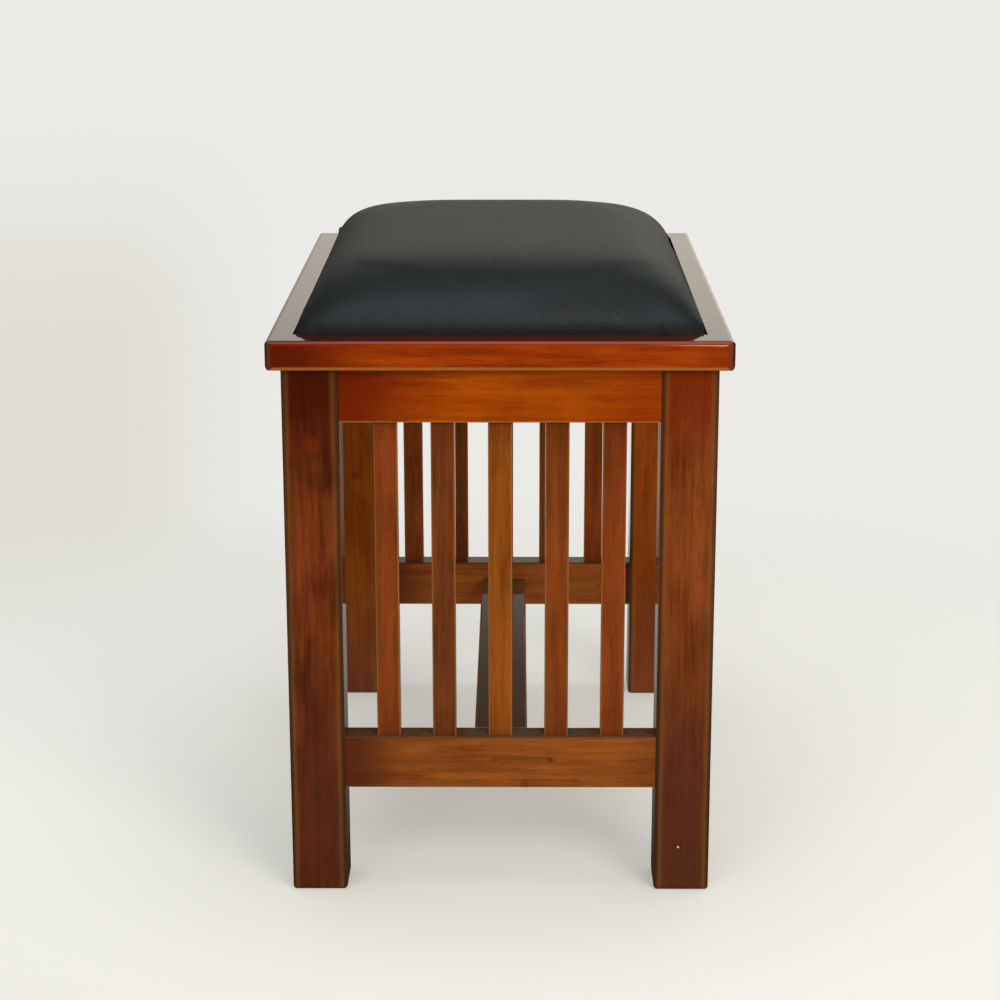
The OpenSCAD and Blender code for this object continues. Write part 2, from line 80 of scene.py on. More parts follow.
def lacquered_wood(name, along, light, dark, toning_and_shade, upper="1c0c05", rub_and_highlight="7d5426", crest=None,
                   upright="7d5426", rub_and_highlight_strength=0.75, clouding=0.35, edge_lines=None, marks=()):
    """Gloss lacquer sprayed over sanded and stained hardwood with toning, which gives sharp
    reflections over a deep, cloudy brown. Under it the wood goes from light to dark in clouds
    and in streaks along one axis. Faces that look up take the colour upper. Bands given as
    (axis, start, full, strength, colour), in m, change the colour: toning, and in places
    painted shade and reflection. Rounded edges have the edge colour, crest where they look up,
    or upright where they stand: partly stain rubbed thin, partly painted highlight, and on some
    members painted shade. edge_lines gives the member's cross-section as (axis, middle, half
    width) twice, for golden lines inside dark edges, which are partly painted highlight and
    painted shade."""
    material, tree, place = blank_material(name)

    def streaks(across_mm, along_mm):
        """Scale that draws a pattern this fine across the grain and this long along it."""
        scale = [1000 / across_mm] * 3
        scale[along] = 1000 / along_mm
        return scale

    # The grain wanders a little to either side over about 150 mm
    wander_by = 0.003
    stretched = add(tree, "ShaderNodeVectorMath", {
        0: place.outputs["Object"], 1: streaks(60, 150)}, operation="MULTIPLY")
    wander = add(tree, "ShaderNodeTexNoise", {
        "Vector": stretched.outputs[0], "Scale": 1.0, "Detail": 1.0})
    shift = add(tree, "ShaderNodeVectorMath", {
        0: wander.outputs["Color"], 1: [2 * wander_by] * 3, 2: [-wander_by] * 3},
        operation="MULTIPLY_ADD")
    grain = add(tree, "ShaderNodeVectorMath", {
        0: place.outputs["Object"], 1: shift.outputs[0]}, operation="ADD")

    def pattern(across_mm, along_mm, detail, low, high):
        """Noise in streaks of that size, from 0 at its low value to 1 at its high one."""
        scaled = add(tree, "ShaderNodeVectorMath", {
            0: grain.outputs[0], 1: streaks(across_mm, along_mm)}, operation="MULTIPLY")
        noise = add(tree, "ShaderNodeTexNoise", {
            "Vector": scaled.outputs[0], "Scale": 1.0, "Detail": detail, "Roughness": 0.6})
        return add(tree, "ShaderNodeMapRange", {
            "Value": noise.outputs["Fac"], "From Min": low, "From Max": high}).outputs["Result"]

    # Each pattern has its width and length in mm, its detail, and its two levels of noise
    fibres = pattern(1.3, 32, 2.0, 0.3, 0.7)
    bands = pattern(6, 110, 2.0, 0.34, 0.66)
    clouds = pattern(30, 70, 3.0, 0.34, 0.68)
    pores = pattern(0.9, 13, 1.0, 0.58, 0.72)

    fibre_share, band_share = 0.25, 0.4
    banded = add(tree, "ShaderNodeMath", {0: bands, 1: band_share}, operation="MULTIPLY")
    streaky = add(tree, "ShaderNodeMath", {
        0: fibres, 1: fibre_share, 2: banded.outputs[0]}, operation="MULTIPLY_ADD")
    uneven = add(tree, "ShaderNodeMath", {
        0: clouds, 1: clouding, 2: streaky.outputs[0]}, operation="MULTIPLY_ADD", use_clamp=True)
    colour = add(tree, "ShaderNodeMix", {
        "Factor": uneven.outputs[0], 6: linear(light), 7: linear(dark)},
        data_type="RGBA").outputs[2]

    # Colour that changes along one axis in the given bands: darker towards the ends, and in
    # places painted shade and reflection
    axes = add(tree, "ShaderNodeSeparateXYZ", {0: place.outputs["Object"]})
    for axis, start, full, strength, toning_and_shade_colour in toning_and_shade:
        depth = add(tree, "ShaderNodeMapRange", {
            "Value": axes.outputs[axis], "From Min": start, "From Max": full,
            "To Max": strength}, interpolation_type="SMOOTHSTEP")
        colour = add(tree, "ShaderNodeMix", {
            "Factor": depth.outputs["Result"], 6: colour, 7: linear(toning_and_shade_colour)},
            data_type="RGBA").outputs[2]

    # Open pores, which show as short dark dashes through stain and toner alike
    colour = add(tree, "ShaderNodeMix", {
        "Factor": pores, 6: colour, 7: [0.76, 0.68, 0.66, 1.0]}, data_type="RGBA",
        blend_type="MULTIPLY").outputs[2]

    # Faces that look up take the colour upper
    facing = add(tree, "ShaderNodeSeparateXYZ", {0: place.outputs["Normal"]})
    upward = add(tree, "ShaderNodeMapRange", {
        "Value": facing.outputs[2], "From Min": 0.95, "From Max": 0.99, "To Max": 0.9})
    colour = add(tree, "ShaderNodeMix", {
        "Factor": upward.outputs["Result"], 6: colour, 7: linear(upper)},
        data_type="RGBA").outputs[2]

    # Rounded edges face between two axes, so the product of their normal's parts finds them
    normal = add(tree, "ShaderNodeSeparateXYZ", {0: add(tree, "ShaderNodeVectorMath", {
        0: place.outputs["Normal"]}, operation="ABSOLUTE").outputs[0]})
    across = add(tree, "ShaderNodeMath", {0: normal.outputs[0], 1: normal.outputs[1]},
                 operation="ADD").outputs[0]
    downward = add(tree, "ShaderNodeMath", {0: facing.outputs[2], 1: -1.0}, operation="MULTIPLY")
    # The rounded edges' tints are partly stain rubbed thin and partly painted highlight, and the
    # near-black upright tint of the top's side rails is painted shade
    for first, second, tint in ((across, downward.outputs[0], rub_and_highlight),
                                (across, facing.outputs[2], crest or rub_and_highlight),
                                (normal.outputs[0], normal.outputs[1], upright)):
        pair = add(tree, "ShaderNodeMath", {0: first, 1: second}, operation="MULTIPLY")
        rounded = add(tree, "ShaderNodeMapRange", {
            "Value": pair.outputs[0], "From Min": 0.2, "From Max": 0.46,
            "To Max": rub_and_highlight_strength})
        colour = add(tree, "ShaderNodeMix", {
            "Factor": rounded.outputs["Result"], 6: colour, 7: linear(tint)},
            data_type="RGBA").outputs[2]

    # Golden lines about 5 mm inside the long edges, partly stain rubbed thin and partly painted
    # highlight, and dark edges outside them, partly darker stain and partly painted shade
    if edge_lines:
        gold_from, gold_to, gold_strength, waver = 0.0088, 0.005, 0.36, 0.0015
        dark_from, dark_to, dark_strength = 0.0042, 0.0018, 0.85
        total = sum(half for _, _, half in edge_lines)
        for axis, centre, _ in edge_lines:
            outward = add(tree, "ShaderNodeMath", {0: axes.outputs[axis]}, operation="ABSOLUTE")
            off = add(tree, "ShaderNodeMath", {0: outward.outputs[0], 1: centre},
                      operation="SUBTRACT")
            distance = add(tree, "ShaderNodeMath", {0: off.outputs[0]}, operation="ABSOLUTE")
            total = add(tree, "ShaderNodeMath", {0: total, 1: distance.outputs[0]},
                        operation="SUBTRACT").outputs[0]
        # The golden lines waver with the clouds
        wavering = add(tree, "ShaderNodeMath", {0: clouds, 1: waver, 2: total},
                       operation="MULTIPLY_ADD").outputs[0]
        inner = add(tree, "ShaderNodeMapRange", {
            "Value": wavering, "From Min": gold_from, "From Max": gold_to},
            interpolation_type="SMOOTHSTEP")
        gold_and_highlight = add(tree, "ShaderNodeMath", {0: inner.outputs["Result"], 1: gold_strength},
                   operation="MULTIPLY")
        lined = add(tree, "ShaderNodeMix", {
            "Factor": gold_and_highlight.outputs[0], 6: colour, 7: linear(rub_and_highlight)}, data_type="RGBA")
        outer = add(tree, "ShaderNodeMapRange", {
            "Value": total, "From Min": dark_from, "From Max": dark_to, "To Max": dark_strength},
            interpolation_type="SMOOTHSTEP")
        colour = add(tree, "ShaderNodeMix", {
            "Factor": outer.outputs["Result"], 6: lined.outputs[2], 7: linear(upper)},
            data_type="RGBA").outputs[2]

    # Chips, stains, small knots and spots of painted shadow at their places, with soft borders
    for spot, radius, strength, shade in marks:
        away = add(tree, "ShaderNodeVectorMath", {0: place.outputs["Object"], 1: spot},
                   operation="DISTANCE")
        chip_and_shadow_spot = add(tree, "ShaderNodeMapRange", {
            "Value": away.outputs["Value"], "From Min": radius, "From Max": radius * 0.4,
            "To Max": strength}, interpolation_type="SMOOTHSTEP")
        colour = add(tree, "ShaderNodeMix", {
            "Factor": chip_and_shadow_spot.outputs["Result"], 6: colour, 7: linear(shade)},
            data_type="RGBA").outputs[2]

    relief = add(tree, "ShaderNodeBump", {
        "Strength": 0.25, "Distance": 0.00006, "Height": fibres})
    shader = add(tree, "ShaderNodeBsdfPrincipled", {
        "Base Color": colour, "Roughness": 0.42, "IOR": 1.45, "Specular IOR Level": 0.0,
        "Coat Weight": 1.0, "Coat Roughness": 0.07, "Coat IOR": 1.5,
        "Normal": relief.outputs["Normal"]})
    add(tree, "ShaderNodeOutputMaterial", {"Surface": shader.outputs["BSDF"]})
    return material


def finish_node(node, material):
    """Gives a CAD node its material."""
    nodes[node].material_slots[0].material = material


leg_section = ((0, 0.152, 0.023), (1, 0.242, 0.023))
finish_node("leg_front_left", lacquered_wood(
    "lacquered_wood_front_left_leg", along=2, light="88401a", dark="401804",
    toning_and_shade=((2, 0.34, 0.43, 0.9, "441000"), (2, 0.26, 0.06, 0.75, "462214")),
    rub_and_highlight_strength=0.0, edge_lines=leg_section, clouding=0.5,
    marks=[([-0.1507, -0.265, 0.3865], 0.008, 0.4, "7a2e0a"),
           ([-0.144, -0.265, 0.357], 0.013, 0.35, "2c1002")]))
finish_node("leg_front_right", lacquered_wood(
    "lacquered_wood_front_right_leg", along=2, light="984c1e", dark="582408",
    toning_and_shade=((2, 0.36, 0.43, 0.8, "782200"), (2, 0.3, 0.06, 0.85, "4a2818")),
    rub_and_highlight_strength=0.0, edge_lines=leg_section, clouding=0.4,
    marks=[([0.149, -0.265, 0.0392], 0.0013, 1.0, "d9b79a")]))
finish_node("leg_back_left", lacquered_wood(
    "lacquered_wood_back_left_leg", along=2, light="944a0c", dark="5a2604",
    toning_and_shade=((2, 0.38, 0.44, 0.5, "502008"), (2, 0.1, 0.0, 0.5, "5c2a10")),
    rub_and_highlight_strength=0.0, edge_lines=leg_section,
    marks=[([-0.147, 0.219, 0.345], 0.013, 0.4, "3a1a08"),
           ([-0.1506, 0.219, 0.2346], 0.006, 0.4, "3a1808")]))
finish_node("leg_back_right", lacquered_wood(
    "lacquered_wood_back_right_leg", along=2, light="a84f10", dark="6e3006",
    toning_and_shade=((2, 0.38, 0.44, 0.5, "642604"), (2, 0.28, 0.1, 0.5, "5c2c0c")),
    rub_and_highlight_strength=0.0, edge_lines=leg_section))


# Slatted ends
# Each end is an apron above, a bottom rail below and five slats between them, of the same
# wood as the legs. They are tenoned together, glued, and finished with the legs.

# The narrow golden band along the aprons' top, just under the top frame, is a painted reflection
# in the shadow there
apron_wood = lacquered_wood(
    "lacquered_wood_aprons", along=0, light="bb5602", dark="832e00",
    toning_and_shade=((0, -0.035, -0.12, 0.92, "6e1a00"), (0, 0.06, 0.13, 0.5, "8a2600"),
           (2, 0.4455, 0.448, 0.8, "a8640c")), rub_and_highlight="c8803a")
# The bottom rails' faces that look up are greyer, partly as a painted reflection of the paper
rail_wood = lacquered_wood(
    "lacquered_wood_bottom_rails", along=0, light="a25a20", dark="66300c", upper="56432f",
    toning_and_shade=((0, -0.06, -0.125, 0.9, "4d2212"), (0, 0.09, 0.14, 0.5, "5c2c12")), rub_and_highlight="96602a",
    crest="5e3010", marks=[([0.0412, -0.262, 0.1159], 0.004, 0.5, "4a2208"),
                           ([0.0205, -0.262, 0.0935], 0.005, 0.4, "3c1a06")])
slat_colours = (("98491a", "5f2c0b"), ("84441c", "4c2610"), ("a45818", "683408"),
                ("94491a", "57280c"), ("964618", "5b290c"))
slat_woods = [lacquered_wood(
    f"lacquered_wood_slat_{i}", along=2, light=light, dark=dark,
    toning_and_shade=((2, 0.37, 0.41, 0.5, "582208"), (2, 0.19, 0.13, 0.35, "582208")),
    rub_and_highlight="96602a", upright="a86e34")
    for i, (light, dark) in enumerate(slat_colours, 1)]
for end in ("front", "back"):
    finish_node(f"apron_{end}", apron_wood)
    finish_node(f"bottom_rail_{end}", rail_wood)
    for i, slat_wood in enumerate(slat_woods, 1):
        finish_node(f"slat_{end}_{i}", slat_wood)


# Stretcher and side aprons
# The stretcher is a flat board between the two bottom rails, and the side aprons join the
# two ends under the top. Their grain runs from front to back.

# The stretcher's face that looks up is greyer, partly as a painted reflection of the paper
long_wood = lacquered_wood(
    "lacquered_wood_stretcher", along=1, light="8a4a1e", dark="5e2b0e", upper="664a2e",
    toning_and_shade=((1, -0.16, -0.25, 0.85, "4a1c08"), (1, 0.16, 0.25, 0.85, "4a1c08")), rub_and_highlight="96602a")
side_wood = lacquered_wood(
    "lacquered_wood_side_aprons", along=1, light="a85012", dark="7c3008",
    toning_and_shade=((1, -0.14, -0.24, 0.85, "5c1c06"), (1, 0.14, 0.24, 0.85, "5c1c06")), rub_and_highlight="b06a22")
finish_node("stretcher", long_wood)
for side in ("left", "right"):
    finish_node(f"apron_{side}", side_wood)


# Top frame
# Four rails, mitred at the corners round the opening for the seat, with rounded outer edges.
# The grain of each runs along it, so that it turns at the mitres.

top_end_wood = lacquered_wood(
    "lacquered_wood_top_ends", along=0, light="b04606", dark="782200", upper="2c0e04",
    toning_and_shade=((0, -0.08, -0.17, 0.95, "5a1400"), (0, 0.15, 0.185, 0.2, "5a1400")), rub_and_highlight="c07a34",
    crest="7c2400", upright="6c2c0c")
# The side rails' standing rounded edges are near black as painted shade, and the black spot at the
# right rear of their top is painted shadow beside the seat
top_side_wood = lacquered_wood(
    "lacquered_wood_top_sides", along=1, light="a0480f", dark="742807", upper="4a2622",
    toning_and_shade=((1, -0.16, -0.26, 0.85, "5a1a06"), (1, 0.16, 0.28, 0.85, "5a1a06")), rub_and_highlight="9a6a40",
    crest="6e4c38", upright="120602",
    marks=[([-0.1731, 0.0384, 0.473], 0.0025, 1.0, "000000"),
           ([0.1815, 0.2533, 0.473], 0.003, 1.0, "000000")])
for end in ("front", "back"):
    finish_node(f"top_rail_{end}", top_end_wood)
for side in ("left", "right"):
    finish_node(f"top_rail_{side}", top_side_wood)


# Splines and corner blocks
# Bare hardwood from the saw and planer: loose splines glued into the mitres, and a block
# glued and screwed into each corner under the top. Nobody sees them, so they have no finish.

# Hardwood as the planer leaves it: pale and dull, with its grain in faint ridges
bare_wood, tree, place = blank_material("bare_planed_wood")
# Grain 2 mm wide and 60 mm long, drawn along X
grain = add(tree, "ShaderNodeVectorMath", {0: place.outputs["Object"], 1: [16, 500, 500]},
            operation="MULTIPLY")
fibres = add(tree, "ShaderNodeTexNoise", {"Vector": grain.outputs[0], "Scale": 1.0, "Detail": 3.0})
tone = add(tree, "ShaderNodeMapRange", {
    "Value": fibres.outputs["Fac"], "From Min": 0.3, "From Max": 0.7})
colour = add(tree, "ShaderNodeMix", {
    "Factor": tone.outputs["Result"], 6: linear("c9a578"), 7: linear("a67d4f")}, data_type="RGBA")
relief = add(tree, "ShaderNodeBump", {
    "Strength": 0.4, "Distance": 0.0001, "Height": tone.outputs["Result"]})
shader = add(tree, "ShaderNodeBsdfPrincipled", {
    "Base Color": colour.outputs[2], "Roughness": 0.7, "IOR": 1.5,
    "Normal": relief.outputs["Normal"]})
add(tree, "ShaderNodeOutputMaterial", {"Surface": shader.outputs["BSDF"]})
finish_node("mitre_splines", bare_wood)
for corner in ("front_left", "front_right", "back_left", "back_right"):
    finish_node(f"corner_block_{corner}", bare_wood)


# Screws
# Zinc-plated countersunk wood screws with a cross recess: up through each corner block into
# the top frame, level into the aprons, and up through the ledge into the seat.

# Drawn steel wire, formed and then plated with zinc: silvery, satin and a little uneven
zinc_steel, tree, place = blank_material("zinc_plated_steel")
# Spangle and handling marks of about 1 mm
spangle = add(tree, "ShaderNodeTexNoise", {
    "Vector": place.outputs["Object"], "Scale": 1000.0, "Detail": 2.0})
gloss = add(tree, "ShaderNodeMapRange", {
    "Value": spangle.outputs["Fac"], "From Min": 0.3, "From Max": 0.7,
    "To Min": 0.28, "To Max": 0.45})
colour = add(tree, "ShaderNodeMix", {
    "Factor": spangle.outputs["Fac"], 6: linear("c6c8c9"), 7: linear("a9abb0")}, data_type="RGBA")
shader = add(tree, "ShaderNodeBsdfPrincipled", {
    "Base Color": colour.outputs[2], "Metallic": 1.0, "Roughness": gloss.outputs["Result"]})
add(tree, "ShaderNodeOutputMaterial", {"Surface": shader.outputs["BSDF"]})


def geometry_tree(name, lengths):
    """A geometry tree that takes points, lengths in m and a material, and what it is given."""
    tree = bpy.data.node_groups.new(name, "GeometryNodeTree")
    sockets = tree.interface
    sockets.new_socket("Geometry", in_out="INPUT", socket_type="NodeSocketGeometry")
    for title, default in lengths.items():
        socket = sockets.new_socket(title, in_out="INPUT", socket_type="NodeSocketFloat")
        socket.default_value = default
    sockets.new_socket("Material", in_out="INPUT", socket_type="NodeSocketMaterial")
    sockets.new_socket("Geometry", in_out="OUTPUT", socket_type="NodeSocketGeometry")
    return tree, add(tree, "NodeGroupInput").outputs


def scatter(tree, points, thing, direction, axis, angles, seed, material):
    """Ends a geometry tree: the thing stands on each point with that axis along the direction,
    turned by a random angle between the two, and all become one mesh of that material."""
    aligned = add(tree, "FunctionNodeAlignRotationToVector", {"Vector": direction}, axis=axis)
    angle = add(tree, "FunctionNodeRandomValue", {2: angles[0], 3: angles[1], "Seed": seed},
                data_type="FLOAT")
    twist = add(tree, "FunctionNodeAxisAngleToRotation", {
        "Axis": [0, 0, 1], "Angle": angle.outputs[1]})
    spun = add(tree, "FunctionNodeRotateRotation", {
        "Rotation": aligned.outputs[0], "Rotate By": twist.outputs[0]}, rotation_space="LOCAL")
    placed = add(tree, "GeometryNodeInstanceOnPoints", {
        "Points": points, "Instance": thing, "Rotation": spun.outputs[0]})
    real = add(tree, "GeometryNodeRealizeInstances", {"Geometry": placed.outputs[0]})
    coated = add(tree, "GeometryNodeSetMaterial", {
        "Geometry": real.outputs[0], "Material": material})
    add(tree, "NodeGroupOutput", {0: coated.outputs[0]})


screw_tree, given = geometry_tree("wood_screws", {
    "Length": 0.028, "Head radius": 0.004, "Head height": 0.003, "Shank radius": 0.002,
    "Point length": 0.005})
point_z = add(screw_tree, "ShaderNodeMath", {
    0: given["Length"], 1: given["Point length"]}, operation="SUBTRACT").outputs[0]
shank_l = add(screw_tree, "ShaderNodeMath", {
    0: point_z, 1: given["Head height"]}, operation="SUBTRACT").outputs[0]
# The screw is one closed skin: the head's flat face, its cone, the shank and the point. The
# flat face is a fan, so that no polygon has the recess as a hole in it
sides, merge_within = 32, 0.00001
skins = add(screw_tree, "GeometryNodeJoinGeometry")
disc = add(screw_tree, "GeometryNodeMeshCircle", {
    "Vertices": sides, "Radius": given["Head radius"]}, fill_type="TRIANGLE_FAN")
flat_face = add(screw_tree, "GeometryNodeFlipFaces", {0: disc.outputs[0]})
screw_tree.links.new(flat_face.outputs[0], skins.inputs[0])
for start, depth, first_radius, last_radius in (
        (0.0, given["Head height"], given["Head radius"], given["Shank radius"]),
        (given["Head height"], shank_l, given["Shank radius"], given["Shank radius"]),
        (point_z, given["Point length"], given["Shank radius"], 0.0)):
    stretch = add(screw_tree, "GeometryNodeMeshCone", {
        "Vertices": sides, "Radius Bottom": first_radius, "Radius Top": last_radius,
        "Depth": depth}, fill_type="NONE")
    raised = add(screw_tree, "GeometryNodeTransform", {
        "Geometry": stretch.outputs["Mesh"],
        "Translation": add(screw_tree, "ShaderNodeCombineXYZ", {2: start}).outputs[0]})
    screw_tree.links.new(raised.outputs[0], skins.inputs[0])
skin = add(screw_tree, "GeometryNodeMergeByDistance", {
    "Geometry": skins.outputs[0], "Distance": merge_within})
# The recess is a cross of two slots, sized by the head's radius and half sunk into its face
slot_length, slot_width, slot_height = 1.12, 0.24, 0.75
recessed = add(screw_tree, "GeometryNodeMeshBoolean", {0: skin.outputs[0]},
               operation="DIFFERENCE", solver="MANIFOLD")
for proportions in ([slot_length, slot_width, slot_height],
                    [slot_width, slot_length, slot_height]):
    size = add(screw_tree, "ShaderNodeVectorMath", {
        0: proportions, "Scale": given["Head radius"]}, operation="SCALE")
    slot = add(screw_tree, "GeometryNodeMeshCube", {"Size": size.outputs[0]})
    screw_tree.links.new(slot.outputs["Mesh"], recessed.inputs[1])
# The cut leaves a few triangles of no area, which merging takes out
screw = add(screw_tree, "GeometryNodeMergeByDistance", {
    "Geometry": recessed.outputs[0], "Distance": merge_within})
# Each screw stands on a point, and turns its axis to the point's own driving direction
drive = add(screw_tree, "GeometryNodeInputNamedAttribute", {"Name": "drive"},
            data_type="FLOAT_VECTOR")
scatter(screw_tree, given["Geometry"], screw.outputs[0], drive.outputs[0], axis="Z",
        angles=(0.0, 1.5), seed=7, material=given["Material"])


def in_scene(name, data):
    """A new object with that data, in the scene."""
    thing = bpy.data.objects.new(name, data)
    bpy.context.scene.collection.objects.link(thing)
    return thing


def make_plain(source, tree, inputs):
    """Turns a points object into the plain mesh that a geometry tree makes of it."""
    modifier = source.modifiers.new("tree", "NODES")
    modifier.node_group = tree
    for item in tree.interface.items_tree:
        if item.item_type == "SOCKET" and item.in_out == "INPUT" and item.name in inputs:
            modifier[item.identifier] = inputs[item.name]
    graph = bpy.context.evaluated_depsgraph_get()
    mesh = bpy.data.meshes.new_from_object(source.evaluated_get(graph))
    source.modifiers.remove(modifier)
    source.data = mesh


def screws(name, node, places, length):
    """The screws of one CAD node: places are the middle of a head's face and its direction."""
    mesh = bpy.data.meshes.new(name)
    mesh.from_pydata([p for p, _ in places], [], [])
    drive = mesh.attributes.new("drive", "FLOAT_VECTOR", "POINT")
    drive.data.foreach_set("vector", [c for _, d in places for c in d])
    piece = in_scene(name, mesh)
    make_plain(piece, screw_tree, {"Length": length, "Material": zinc_steel})
    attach(piece, "root")
    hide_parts(node)


four = [(x, y) for x in (-1, 1) for y in (-1, 1)]
under_block, beside_block, under_ledge = 0.429, 0.439, 0.449
screws("frame_wood_screws", "frame_screws",
       [((x * px, y * py, under_block), (0, 0, 1)) for x, y in four
        for px, py in ((0.142, 0.199), (0.109, 0.232))], length=0.028)
screws("apron_wood_screws", "apron_screws",
       [((x * 0.091, y * 0.228, beside_block), (0, y, 0)) for x, y in four]
       + [((x * 0.138, y * 0.181, beside_block), (x, 0, 0)) for x, y in four], length=0.025)
screws("seat_wood_screws", "seat_screws",
       [((x * 0.135, y * 0.15, under_ledge), (0, 0, 1)) for x in (-1, 1) for y in (-1, 0, 1)],
       length=0.020)


# Seat base
# A 9 mm plywood board under the foam. Its face veneer is pale and rotary cut, and its edge
# is striped by plies of alternate grain.

# Birch peeled into veneers, glued crosswise and sanded: pale and matt, with wavering grain on
# its faces and stripes at its edges
plywood, tree, place = blank_material("birch_plywood")
axes = add(tree, "ShaderNodeSeparateXYZ", {0: place.outputs["Object"]})
# Plies, light and dark by turns, drawn 2.6 mm thick, which is twice as thick as real ones
plies_per_m = 385.0
counted = add(tree, "ShaderNodeMath", {0: axes.outputs[2], 1: plies_per_m},
              operation="MULTIPLY")
layer = add(tree, "ShaderNodeMath", {0: counted.outputs[0], 1: 1.0}, operation="PINGPONG")
# Grain 3 mm wide and 120 mm long, along Y
grain = add(tree, "ShaderNodeVectorMath", {0: place.outputs["Object"], 1: [330, 8, 330]},
            operation="MULTIPLY")
fibres = add(tree, "ShaderNodeTexNoise", {
    "Vector": grain.outputs[0], "Scale": 1.0, "Detail": 3.0, "Distortion": 0.4})
streaky = add(tree, "ShaderNodeMix", {
    "Factor": fibres.outputs["Fac"], 6: linear("d3b388"), 7: linear("b08a5c")}, data_type="RGBA")
layered = add(tree, "ShaderNodeMix", {
    "Factor": add(tree, "ShaderNodeMath", {0: layer.outputs[0], 1: 0.35},
                  operation="MULTIPLY").outputs[0],
    6: streaky.outputs[2], 7: linear("7d5a38")}, data_type="RGBA")
shader = add(tree, "ShaderNodeBsdfPrincipled", {
    "Base Color": layered.outputs[2], "Roughness": 0.65, "IOR": 1.5})
add(tree, "ShaderNodeOutputMaterial", {"Surface": shader.outputs["BSDF"]})
finish_node("seat_base", plywood)


# Cushion
# Black leathercloth pulled over a crowned foam block and down round the plywood, with its
# edge turned under and its corners pleated, so that small puckers stand along its lower edge.

seat_lo, seat_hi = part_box("seat_cover")
ply_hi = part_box("seat_base")[1]
half_x, half_y = seat_hi.x, seat_hi.y
edge_z, rise, unswollen = 0.473, 0.0466, 0.98
cells_x, cells_y = 84, 124
count_x, count_y = cells_x + 1, cells_y + 1
draw_in = 0.0015


def crown(u, v):
    """Height of the crown from 0 to 1, steep at its sides and back, and softer at the front.
    The foam is a little fuller at the left."""
    u = np.where(u < 0, u + 0.045 * (1 - u ** 8), u)
    across = 1 - np.abs(u) ** 5.67
    length = 1 - np.abs(v) ** np.where(v < 0, 5.0, 13.4)
    return np.maximum(across * length, 0) ** 0.627


def plan(u, v, x, y):
    """Plan of the seat at (u, v): its sides draw in between the corners."""
    return u * (x - draw_in * (1 - v * v)), v * (y - draw_in * (1 - u * u))


def grid_quads(first, columns, rows):
    """The cells of a grid whose points are numbered row by row from first."""
    return [(a, a + 1, a + columns + 2, a + columns + 1) for j in range(rows)
            for a in range(first + (columns + 1) * j, first + (columns + 1) * j + columns)]


u = np.sin(np.linspace(-math.pi / 2, math.pi / 2, count_x))
v = np.sin(np.linspace(-math.pi / 2, math.pi / 2, count_y))
grid_u, grid_v = np.meshgrid(u, v)
x, y = plan(grid_u, grid_v, half_x, half_y)
height = crown(grid_u, grid_v)
# The crown starts a little lower than it ends, because its pressure lifts it
points = np.stack([x, y, edge_z + unswollen * rise * height], axis=-1).reshape(-1, 3)

edge = (list(range(cells_x)) + [cells_x + count_x * j for j in range(cells_y)]
        + [i + count_x * cells_y for i in range(cells_x, 0, -1)]
        + [count_x * j for j in range(cells_y, 0, -1)])
edge_u = grid_u.reshape(-1)[edge]
edge_v = grid_v.reshape(-1)[edge]
# Rings below the crown: down the side, under the edge and back out below the plywood
cloth, turned, gap = 0.0012, 0.020, 0.0003
rings = [(half_x, half_y, seat_lo.z), (half_x - turned, half_y - turned, seat_lo.z),
         (half_x - turned, half_y - turned, seat_lo.z + cloth),
         (half_x - cloth, half_y - cloth, seat_lo.z + cloth)]
below = []
for rx, ry, rz in rings:
    ring_x, ring_y = plan(edge_u, edge_v, rx, ry)
    below.append(np.stack([ring_x, ring_y, np.full(len(edge), rz)], axis=-1))
# The foam's underside, just clear of the plywood, has its own border as the last loop
under_x, under_y = plan(grid_u, grid_v, half_x - cloth, half_y - cloth)
under = np.stack([under_x, under_y, np.full_like(grid_u, ply_hi.z + gap)], axis=-1)
points = np.concatenate([points, *below, under.reshape(-1, 3)])

crown_count = count_x * count_y
under_first = crown_count + len(rings) * len(edge)
loops = [edge] + [[crown_count + n * len(edge) + k for k in range(len(edge))]
                  for n in range(len(rings))] + [[under_first + k for k in edge]]
faces = grid_quads(0, cells_x, cells_y)
for upper, lower in zip(loops, loops[1:]):
    for k in range(len(edge)):
        n = (k + 1) % len(edge)
        faces.append((upper[n], upper[k], lower[k], lower[n]))
faces += [(a, d, c, b) for a, b, c, d in grid_quads(under_first, cells_x, cells_y)]

mesh = bpy.data.meshes.new("cushion")
mesh.from_pydata([tuple(p) for p in points], [], faces)
mesh.update()
cushion = in_scene("cushion", mesh)

rest = np.empty(len(mesh.vertices) * 3)
mesh.vertices.foreach_get("co", rest)
rest = rest.reshape(-1, 3)
swollen = rest.copy()
# Foam pressure on the cover, with everything at and below its lower edge held
frames, smoothing_passes, cap = 20, 80, 0.001
held = cushion.vertex_groups.new(name="held")
for index, point in enumerate(rest):
    weight = 1.0 if point[2] < edge_z + 0.002 or index >= crown_count else 0.0
    held.add([index], weight, "REPLACE")
cloth_modifier = cushion.modifiers.new("foam_pressure", "CLOTH")
settings = cloth_modifier.settings
settings.quality = 6
settings.mass = 0.3
settings.tension_stiffness = 20
settings.compression_stiffness = 20
settings.shear_stiffness = 8
settings.bending_stiffness = 2
settings.use_pressure = True
settings.uniform_pressure_force = 4
settings.vertex_group_mass = "held"
settings.effector_weights.gravity = 0
cloth_modifier.collision_settings.use_collision = False
for number in range(1, frames + 1):
    bpy.context.scene.frame_set(number)
graph = bpy.context.evaluated_depsgraph_get()
result = cushion.evaluated_get(graph).to_mesh()
blown = np.empty(len(mesh.vertices) * 3)
result.vertices.foreach_get("co", blown)
cushion.evaluated_get(graph).to_mesh_clear()
cushion.modifiers.remove(cloth_modifier)
cushion.vertex_groups.clear()
bpy.context.scene.frame_set(1)
